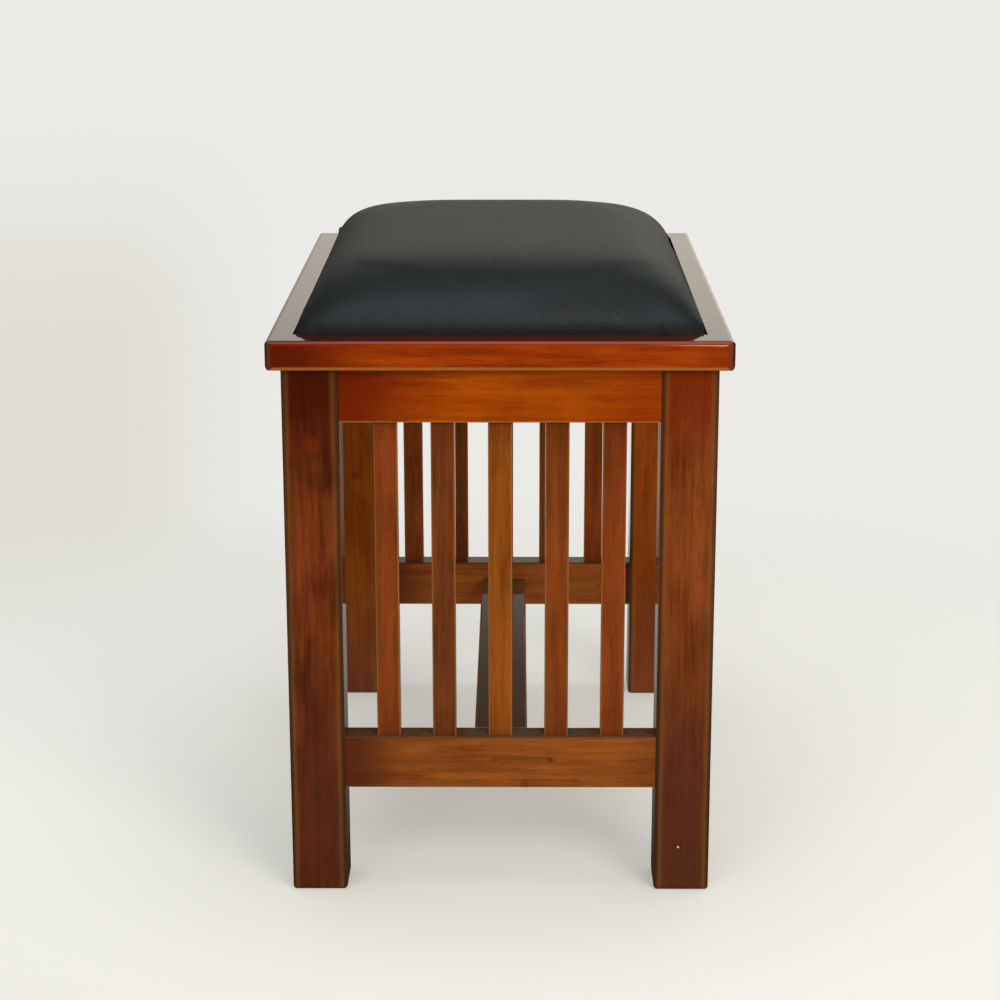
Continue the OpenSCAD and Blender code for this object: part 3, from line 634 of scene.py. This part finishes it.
move = blown.reshape(-1, 3) - rest
# Firm foam under the cover takes out the finer creases, so only the broad swell is kept
swell = move[:crown_count].reshape(count_y, count_x, 3)
for _ in range(smoothing_passes):
    swell[1:-1, 1:-1] = swell[1:-1, 1:-1] / 2 + (
        swell[:-2, 1:-1] + swell[2:, 1:-1] + swell[1:-1, :-2] + swell[1:-1, 2:]) / 8
size = np.maximum(np.linalg.norm(move, axis=1, keepdims=True), 1e-9)
# No point moves more than the cap, and the limit comes on gently
swollen = rest + move * np.tanh(size / cap) * cap / size

# The crown reaches its full height
top = swollen[:crown_count]
top[:, 2] = edge_z + (top[:, 2] - edge_z) * rise / (top[:, 2].max() - edge_z)

# Puckers: short upright waves on the sides, strongest at the lower edge and near the corners
rng = np.random.default_rng(11)
starts_over, fades_over, end_puckers, side_puckers = 0.0015, 0.007, 0.003, 0.0014
height_here = np.clip(top[:, 2] - edge_z, 0, None)
fade = np.exp(-height_here / fades_over) * (1 - np.exp(-height_here / starts_over))
flat_u, flat_v = grid_u.reshape(-1), grid_v.reshape(-1)
on_end = np.abs(flat_v) ** 8
on_side = np.abs(flat_u) ** 8
wave_x = np.zeros(crown_count)
wave_y = np.zeros(crown_count)
for length_mm in (9, 13, 21, 34):
    wave_x += np.sin(top[:, 1] * 1000 * 2 * math.pi / length_mm + rng.uniform(0, 6.28)) / 4
    wave_y += np.sin(top[:, 0] * 1000 * 2 * math.pi / length_mm + rng.uniform(0, 6.28)) / 4
near_corner_x = 0.35 + 0.65 * np.abs(flat_u) ** 3 + 0.9 * np.clip(flat_u, 0, 1) ** 2
near_corner_y = 0.35 + 0.65 * np.abs(flat_v) ** 3
top[:, 1] += np.sign(flat_v) * on_end * fade * wave_y * near_corner_x * end_puckers
top[:, 0] += np.sign(flat_u) * on_side * fade * wave_x * near_corner_y * side_puckers
# The cover bulges over the gap along its long sides, except at the right, near the back,
# where it draws in and the gap shows
bulge_by, bulge_at, bulge_over = 0.0018, 0.004, 0.003
drawn_by, drawn_at, drawn_over, drawn_up_to = 0.003, 0.175, 0.045, 0.02
drawn = np.exp(-((top[:, 1] - drawn_at) / drawn_over) ** 4) * np.clip(flat_u, 0, 1) ** 10
bulge = bulge_by * np.exp(-((height_here - bulge_at) / bulge_over) ** 2) * (1 - flat_v ** 6)
top[:, 0] += np.sign(flat_u) * np.abs(flat_u) ** 12 * bulge * (1 - drawn)
top[:, 0] -= drawn_by * drawn * np.exp(-height_here / drawn_up_to)

# Pleated corners draw in and stand up a little, the one at the back left the most
for sx, sy, lift, draw, reach in ((-1, -1, 0.002, 0.0016, 0.009), (1, -1, 0.002, 0.002, 0.009),
                                  (-1, 1, 0.009, 0.001, 0.011), (1, 1, 0.0015, 0.001, 0.006)):
    near = np.exp(-(np.hypot(top[:, 0] - sx * half_x, top[:, 1] - sy * half_y) / reach) ** 2)
    top[:, 0] -= sx * draw * near
    top[:, 1] -= sy * draw * near
    top[:, 2] += lift * near

swollen[:crown_count] = top
mesh.vertices.foreach_set("co", swollen.ravel())
mesh.polygons.foreach_set("use_smooth", [True] * len(mesh.polygons))
# The folds round the plywood stay sharp under the subdivision
crease = mesh.attributes.new("crease_edge", "FLOAT", "EDGE")
sharp = set()
for loop in loops[1:]:
    for k in range(len(edge)):
        sharp.add(frozenset((loop[k], loop[(k + 1) % len(edge)])))
crease.data.foreach_set("value", [
    1.0 if frozenset(e.vertices) in sharp else 0.0 for e in mesh.edges])
mesh.update()
smoother = cushion.modifiers.new("subdivision", "SUBSURF")
smoother.levels = smoother.render_levels = 1

# Vinyl spread on knitted cloth and embossed by a roller: black, with broad soft highlights
# that the shallow pebbles break up
leathercloth, tree, place = blank_material("black_leathercloth")
# Embossed pebbles, which are about 0.8 mm wide on the real cover and are drawn 1.6 mm wide,
# because finer ones would not show
pebbles = add(tree, "ShaderNodeTexVoronoi", {
    "Vector": place.outputs["Object"], "Scale": 620.0})
fine = add(tree, "ShaderNodeTexNoise", {
    "Vector": place.outputs["Object"], "Scale": 1500.0, "Detail": 2.0})
relief_height = add(tree, "ShaderNodeMath", {
    0: pebbles.outputs["Distance"], 1: -0.8,
    2: add(tree, "ShaderNodeMath", {0: fine.outputs["Fac"], 1: 0.35},
           operation="MULTIPLY").outputs[0]}, operation="MULTIPLY_ADD")
# The grain stands out more where sitters have rubbed the front edge at the right
rubbed_spot = add(tree, "ShaderNodeVectorMath", {
    0: place.outputs["Object"], 1: [0.075, -0.24, 0.485]}, operation="DISTANCE")
depth = add(tree, "ShaderNodeMapRange", {
    "Value": rubbed_spot.outputs["Value"], "From Min": 0.075, "From Max": 0.02,
    "To Min": 0.0004, "To Max": 0.0013}, interpolation_type="SMOOTHSTEP")
relief = add(tree, "ShaderNodeBump", {
    "Strength": 0.6, "Distance": depth.outputs["Result"], "Height": relief_height.outputs[0]})
# Faint unevenness of the coating, over some 60 mm
patches = add(tree, "ShaderNodeTexNoise", {
    "Vector": place.outputs["Object"], "Scale": 16.0, "Detail": 2.0})
coating = add(tree, "ShaderNodeMix", {
    "Factor": patches.outputs["Fac"], 6: linear("141817"), 7: linear("1f2422")}, data_type="RGBA")
# The last 13 mm at the front, before it turns under, are painted near black as the shade
# where the cover turns under, and are duller. It comes on over 11 mm
axes = add(tree, "ShaderNodeSeparateXYZ", {0: place.outputs["Object"]})
low_down = add(tree, "ShaderNodeMapRange", {
    "Value": axes.outputs[2], "From Min": 0.486, "From Max": 0.475},
    interpolation_type="SMOOTHSTEP")
at_front = add(tree, "ShaderNodeMapRange", {
    "Value": axes.outputs[1], "From Min": -0.21, "From Max": -0.235},
    interpolation_type="SMOOTHSTEP")
turn = add(tree, "ShaderNodeMath", {
    0: low_down.outputs["Result"], 1: at_front.outputs["Result"]}, operation="MULTIPLY")
colour = add(tree, "ShaderNodeMix", {
    "Factor": turn.outputs[0], 6: coating.outputs[2], 7: linear("040606")},
    data_type="RGBA")
gloss = add(tree, "ShaderNodeMapRange", {
    "Value": pebbles.outputs["Distance"], "From Min": 0.0, "From Max": 0.8,
    "To Min": 0.38, "To Max": 0.5})
duller = add(tree, "ShaderNodeMath", {
    0: turn.outputs[0], 1: 0.35, 2: gloss.outputs["Result"]}, operation="MULTIPLY_ADD")
shader = add(tree, "ShaderNodeBsdfPrincipled", {
    "Base Color": colour.outputs[2], "Roughness": duller.outputs[0], "IOR": 1.48,
    "Specular IOR Level": 0.46, "Normal": relief.outputs["Normal"]})
add(tree, "ShaderNodeOutputMaterial", {"Surface": shader.outputs["BSDF"]})
mesh.materials.append(leathercloth)
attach(cushion, "root")
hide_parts("seat_cover", "seat_foam")


# Dust cover
# Black non-woven cloth, pulled over the opening under the seat and held by staples round
# its edge. It sags a little between them.

dust_lo, dust_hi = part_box("dust_cover")
width, length = dust_hi.x - dust_lo.x, dust_hi.y - dust_lo.y
columns, rows = 66, 110
sag, fold_height, drop = 0.0012, 0.0004, 0.0004
corners = []
for j in range(rows + 1):
    for i in range(columns + 1):
        px, py = i / columns, j / rows
        inside = min(1, 10 * min(px, 1 - px, py, 1 - py))
        middle = math.sin(math.pi * px) * math.sin(math.pi * py)
        fold = fold_height * math.sin(90 * px + 25 * py) * math.sin(6 * py + 2)
        corners.append((dust_lo.x + width * px, dust_lo.y + length * py,
                        (dust_lo.z + dust_hi.z) / 2 - inside * (sag * middle + fold)
                        - inside * drop))
mesh = bpy.data.meshes.new("dust_cloth")
mesh.from_pydata(corners, [], grid_quads(0, columns, rows))
mesh.polygons.foreach_set("use_smooth", [True] * len(mesh.polygons))
dust_cloth = in_scene("dust_cloth", mesh)
thick = dust_cloth.modifiers.new("thickness", "SOLIDIFY")
thick.thickness = dust_hi.z - dust_lo.z
thick.offset = 0

# Fine plastic fibres laid at random and bonded by a hot dimpled roller: dull black, with an
# even pattern of dimples
cloth_material, tree, place = blank_material("black_non_woven_cloth")
# Bonded dimples 1.4 mm apart over loose fibres
dimples = add(tree, "ShaderNodeTexVoronoi", {
    "Vector": place.outputs["Object"], "Scale": 700.0, "Randomness": 0.0})
fuzz = add(tree, "ShaderNodeTexNoise", {
    "Vector": place.outputs["Object"], "Scale": 1500.0, "Detail": 3.0})
colour = add(tree, "ShaderNodeMix", {
    "Factor": fuzz.outputs["Fac"], 6: linear("17181a"), 7: linear("2c2e31")}, data_type="RGBA")
relief = add(tree, "ShaderNodeBump", {
    "Strength": 0.6, "Distance": 0.0002, "Height": dimples.outputs["Distance"]})
shader = add(tree, "ShaderNodeBsdfPrincipled", {
    "Base Color": colour.outputs[2], "Roughness": 0.9, "Normal": relief.outputs["Normal"]})
add(tree, "ShaderNodeOutputMaterial", {"Surface": shader.outputs["BSDF"]})
mesh.materials.append(cloth_material)
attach(dust_cloth, "root")
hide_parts("dust_cover")


# Staples
# Galvanised wire staples 10 mm wide, shot up through the dust cover's edge into the plywood
# every 42 mm, none quite in line.

staple_tree, given = geometry_tree("staples", {
    "Width between rows": 0.236, "Length between rows": 0.416, "Spacing": 0.042,
    "Staple width": 0.010, "Leg length": 0.006, "Wire diameter": 0.0007, "Height": 0.4608})
half = add(staple_tree, "ShaderNodeMath", {0: given["Staple width"], 1: 0.5},
           operation="MULTIPLY").outputs[0]
wires = add(staple_tree, "GeometryNodeJoinGeometry")
ends = []
for sign in (-1.0, 1.0):
    reach = add(staple_tree, "ShaderNodeMath", {0: half, 1: sign}, operation="MULTIPLY").outputs[0]
    ends.append(add(staple_tree, "ShaderNodeCombineXYZ", {0: reach}).outputs[0])
    tip = add(staple_tree, "ShaderNodeCombineXYZ", {0: reach, 2: given["Leg length"]}).outputs[0]
    leg_wire = add(staple_tree, "GeometryNodeCurvePrimitiveLine", {"Start": ends[-1], "End": tip})
    staple_tree.links.new(leg_wire.outputs[0], wires.inputs[0])
back_wire = add(staple_tree, "GeometryNodeCurvePrimitiveLine", {"Start": ends[0], "End": ends[1]})
staple_tree.links.new(back_wire.outputs[0], wires.inputs[0])
section = add(staple_tree, "GeometryNodeCurvePrimitiveCircle", {
    "Resolution": 8, "Radius": add(staple_tree, "ShaderNodeMath", {
        0: given["Wire diameter"], 1: 0.5}, operation="MULTIPLY").outputs[0]})
staple = add(staple_tree, "GeometryNodeCurveToMesh", {
    "Curve": wires.outputs[0], "Profile Curve": section.outputs[0], "Fill Caps": True})
row = add(staple_tree, "GeometryNodeCurvePrimitiveQuadrilateral", {
    0: given["Width between rows"], 1: given["Length between rows"]})
stops = add(staple_tree, "GeometryNodeCurveToPoints", {
    "Curve": row.outputs[0], "Length": given["Spacing"]}, mode="LENGTH")
raised = add(staple_tree, "GeometryNodeSetPosition", {
    "Geometry": stops.outputs["Points"],
    "Offset": add(staple_tree, "ShaderNodeCombineXYZ", {2: given["Height"]}).outputs[0]})
scatter(staple_tree, raised.outputs[0], staple.outputs[0], stops.outputs["Tangent"], axis="X",
        angles=(-0.25, 0.25), seed=3, material=given["Material"])
staples = in_scene("dust_cloth_staples", bpy.data.meshes.new("dust_cloth_staples"))
make_plain(staples, staple_tree, {"Material": zinc_steel})
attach(staples, "root")


# Studio
# A pale paper sweep whose near end stops in front of the stool, with a dark room beyond it
# and above, and soft lamps at the front. Only reflections tell the dark room from the paper.

floor_mesh = bpy.data.meshes.new("paper_floor")
floor_mesh.from_pydata([(-6, -6, 0), (6, -6, 0), (6, 6, 0), (-6, 6, 0)], [], [(0, 1, 2, 3)])
floor = in_scene("paper_floor", floor_mesh)
# Uncoated paper from a roll: off-white, with no gloss at all
paper, tree, place = blank_material("matt_background_paper")
away = add(tree, "ShaderNodeVectorMath", {0: place.outputs["Object"], 1: [0.0, 0.1, 0.0]},
           operation="DISTANCE")
fade = add(tree, "ShaderNodeMapRange", {
    "Value": away.outputs["Value"], "From Min": 0.55, "From Max": 1.0},
    interpolation_type="SMOOTHSTEP")
tone = add(tree, "ShaderNodeTexNoise", {
    "Vector": place.outputs["Object"], "Scale": 3.0, "Detail": 1.0})
colour = add(tree, "ShaderNodeMix", {
    "Factor": tone.outputs["Fac"], 6: linear("edece7"), 7: linear("eae9e4")}, data_type="RGBA")
# The lacquer shows almost nothing of the paper in front of the stool, and some behind it
axes = add(tree, "ShaderNodeSeparateXYZ", {0: place.outputs["Object"]})
hidden = add(tree, "ShaderNodeMapRange", {
    "Value": axes.outputs[1], "From Min": 0.25, "From Max": -0.2,
    "To Min": -0.6, "To Max": -0.96})
dim = add(tree, "ShaderNodeMath", {
    0: add(tree, "ShaderNodeLightPath").outputs["Is Glossy Ray"], 1: hidden.outputs["Result"],
    2: 1.0}, operation="MULTIPLY_ADD")
# A third of the paper's light is a painted glow that it gives off itself, so that the shadow
# stays soft
for_lamps = add(tree, "ShaderNodeMath", {0: dim.outputs[0], 1: 0.68}, operation="MULTIPLY")
matt = add(tree, "ShaderNodeBsdfDiffuse", {"Color": add(tree, "ShaderNodeVectorMath", {
    0: colour.outputs[2], "Scale": for_lamps.outputs[0]}, operation="SCALE").outputs[0]})
painted_glow_strength = add(tree, "ShaderNodeMath", {0: dim.outputs[0], 1: 0.31}, operation="MULTIPLY")
painted_glow = add(tree, "ShaderNodeEmission", {
    "Color": linear("fffff1"), "Strength": painted_glow_strength.outputs[0]})
lit_paper = add(tree, "ShaderNodeAddShader", {0: matt.outputs[0], 1: painted_glow.outputs[0]})
clear = add(tree, "ShaderNodeBsdfTransparent")
mixed = add(tree, "ShaderNodeMixShader", {
    0: fade.outputs["Result"], 1: lit_paper.outputs[0], 2: clear.outputs[0]})
geometry = add(tree, "ShaderNodeNewGeometry")
one_sided = add(tree, "ShaderNodeMixShader", {
    0: geometry.outputs["Backfacing"], 1: mixed.outputs[0], 2: clear.outputs[0]})
add(tree, "ShaderNodeOutputMaterial", {"Surface": one_sided.outputs[0]})
floor_mesh.materials.append(paper)

world = bpy.data.worlds.new("studio")
bpy.context.scene.world = world
world.use_nodes = True
world.node_tree.nodes.clear()
tree = world.node_tree
ray = add(tree, "ShaderNodeTexCoord").outputs["Generated"]
direction = add(tree, "ShaderNodeSeparateXYZ", {0: ray})
path = add(tree, "ShaderNodeLightPath")
sideways = add(tree, "ShaderNodeMath", {0: direction.outputs[0]}, operation="ABSOLUTE").outputs[0]
# Reflections see the bright paper behind the stool, a dim wall far to each side of it, and
# a dark room elsewhere
behind = add(tree, "ShaderNodeMapRange", {
    "Value": direction.outputs[1], "From Min": 0.05, "From Max": 0.3})
narrow = add(tree, "ShaderNodeMapRange", {
    "Value": sideways, "From Min": 0.36, "From Max": 0.22}, interpolation_type="SMOOTHSTEP")
dimmer_left = add(tree, "ShaderNodeMapRange", {
    "Value": direction.outputs[0], "From Min": -0.34, "From Max": -0.02},
    interpolation_type="SMOOTHSTEP")
low = add(tree, "ShaderNodeMapRange", {
    "Value": direction.outputs[2], "From Min": 0.365, "From Max": 0.18, "To Max": 1.15},
    interpolation_type="SMOOTHSTEP")
sweep = add(tree, "ShaderNodeMath", {
    0: behind.outputs["Result"], 1: add(tree, "ShaderNodeMath", {
        0: narrow.outputs["Result"], 1: dimmer_left.outputs["Result"]},
        operation="MULTIPLY").outputs[0]}, operation="MULTIPLY")
wall = add(tree, "ShaderNodeMapRange", {
    "Value": sideways, "From Min": 0.78, "From Max": 0.95, "To Min": 0.05, "To Max": 0.3})
mirrored = add(tree, "ShaderNodeMath", {
    0: sweep.outputs[0], 1: low.outputs["Result"], 2: wall.outputs["Result"]},
    operation="MULTIPLY_ADD")
paper_light = add(tree, "ShaderNodeVectorMath", {
    0: linear("ebeadc")[:3], "Scale": mirrored.outputs[0]}, operation="SCALE")
# They also see a round, faintly blue softbox overhead, a little to the right
overhead = add(tree, "ShaderNodeVectorMath", {0: ray, 1: (0.17, 0.03, 0.985)},
               operation="DOT_PRODUCT")
ceiling = add(tree, "ShaderNodeMapRange", {
    "Value": overhead.outputs["Value"], "From Min": 0.85, "From Max": 0.95, "To Max": 1.5},
    interpolation_type="SMOOTHSTEP")
ceiling_light = add(tree, "ShaderNodeVectorMath", {
    0: linear("c2e0ee")[:3], "Scale": ceiling.outputs["Result"]}, operation="SCALE")
reflected = add(tree, "ShaderNodeBackground", {
    "Color": add(tree, "ShaderNodeVectorMath", {
        0: paper_light.outputs[0], 1: ceiling_light.outputs[0]}, operation="ADD").outputs[0],
    "Strength": 1.0})
# Soft light comes from the front and above more than from the sides
frontal = add(tree, "ShaderNodeMath", {0: sideways, 1: -0.4, 2: 0.74}, operation="MULTIPLY_ADD")
ambient = add(tree, "ShaderNodeBackground", {
    "Color": linear("f2f3f5"), "Strength": frontal.outputs[0]})
# The paper is seen a little darker and yellower at the left, except near its top: painted
# shade on the backdrop
leftward = add(tree, "ShaderNodeMapRange", {
    "Value": direction.outputs[0], "From Min": -0.09, "From Max": -0.17},
    interpolation_type="SMOOTHSTEP")
sunk = add(tree, "ShaderNodeMapRange", {
    "Value": direction.outputs[2], "From Min": -0.1, "From Max": -0.2},
    interpolation_type="SMOOTHSTEP")
shade = add(tree, "ShaderNodeMath", {
    0: leftward.outputs["Result"], 1: sunk.outputs["Result"]}, operation="MULTIPLY")
paper_colour = add(tree, "ShaderNodeMix", {
    "Factor": shade.outputs[0], 6: linear("ebeae6"), 7: linear("dfddd4")}, data_type="RGBA")
seen = add(tree, "ShaderNodeBackground", {"Color": paper_colour.outputs[2], "Strength": 1.0})
shiny = add(tree, "ShaderNodeMath", {
    0: path.outputs["Is Glossy Ray"], 1: path.outputs["Is Transmission Ray"]}, operation="MAXIMUM")
lit = add(tree, "ShaderNodeMixShader", {
    0: shiny.outputs[0], 1: ambient.outputs[0], 2: reflected.outputs[0]})
shown = add(tree, "ShaderNodeMixShader", {
    0: path.outputs["Is Camera Ray"], 1: lit.outputs[0], 2: seen.outputs[0]})
add(tree, "ShaderNodeOutputWorld", {"Surface": shown.outputs[0]})

for name, place, size, power, colour in (
        ("front_right_softbox", (1.3, -2.3, 1.6), (1.2, 1.2), 34, "fff8f0"),
        ("front_left_softbox", (-1.2, -2.4, 1.5), (1.2, 1.2), 14, "f4f6ff"),
        ("overhead_softbox", (0.1, 0.1, 2.8), (1.8, 1.8), 26, "fbfbff"),
        ("right_strip_lamp", (0.48, -2.3, 1.8), (0.3, 1.2), 10, "ffe0b8")):
    lamp = bpy.data.lights.new(name, "AREA")
    lamp.shape = "RECTANGLE"
    lamp.size, lamp.size_y = size
    lamp.energy = power
    lamp.color = linear(colour)[:3]
    holder = in_scene(name, lamp)
    holder.location = place
    aim = Vector((0, 0, 0.3)) - Vector(place)
    holder.rotation_euler = aim.to_track_quat("-Z", "Y").to_euler()
    holder.visible_camera = False
    # The blue ceiling stands for the overhead softbox in reflections, and the strip lamp
    # lights reflections alone, for the highlight on the top frame's front edge
    holder.visible_glossy = name != "overhead_softbox"
    holder.visible_diffuse = name != "right_strip_lamp"

# The camera that took the photograph, from a fit to the stool's edges
pitch, yaw, roll = (math.radians(a) for a in (15.306, -0.422, 0.064))
ahead = Vector((math.sin(yaw) * math.cos(pitch), math.cos(yaw) * math.cos(pitch),
                -math.sin(pitch)))
level = Vector((math.cos(yaw), -math.sin(yaw), 0))
down = ahead.cross(level)
right = level * math.cos(roll) + down * math.sin(roll)
down = down * math.cos(roll) - level * math.sin(roll)
camera_data = bpy.data.cameras.new("camera")
camera_data.lens = 86.08
camera_data.sensor_width = 36
camera = in_scene("camera", camera_data)
camera.matrix_world = (Matrix.Translation((0.01365, -2.12414, 0.84979))
                       @ Matrix((right, -down, -ahead)).transposed().to_4x4())
bpy.context.scene.camera = camera
bpy.context.scene.view_settings.view_transform = "Standard"
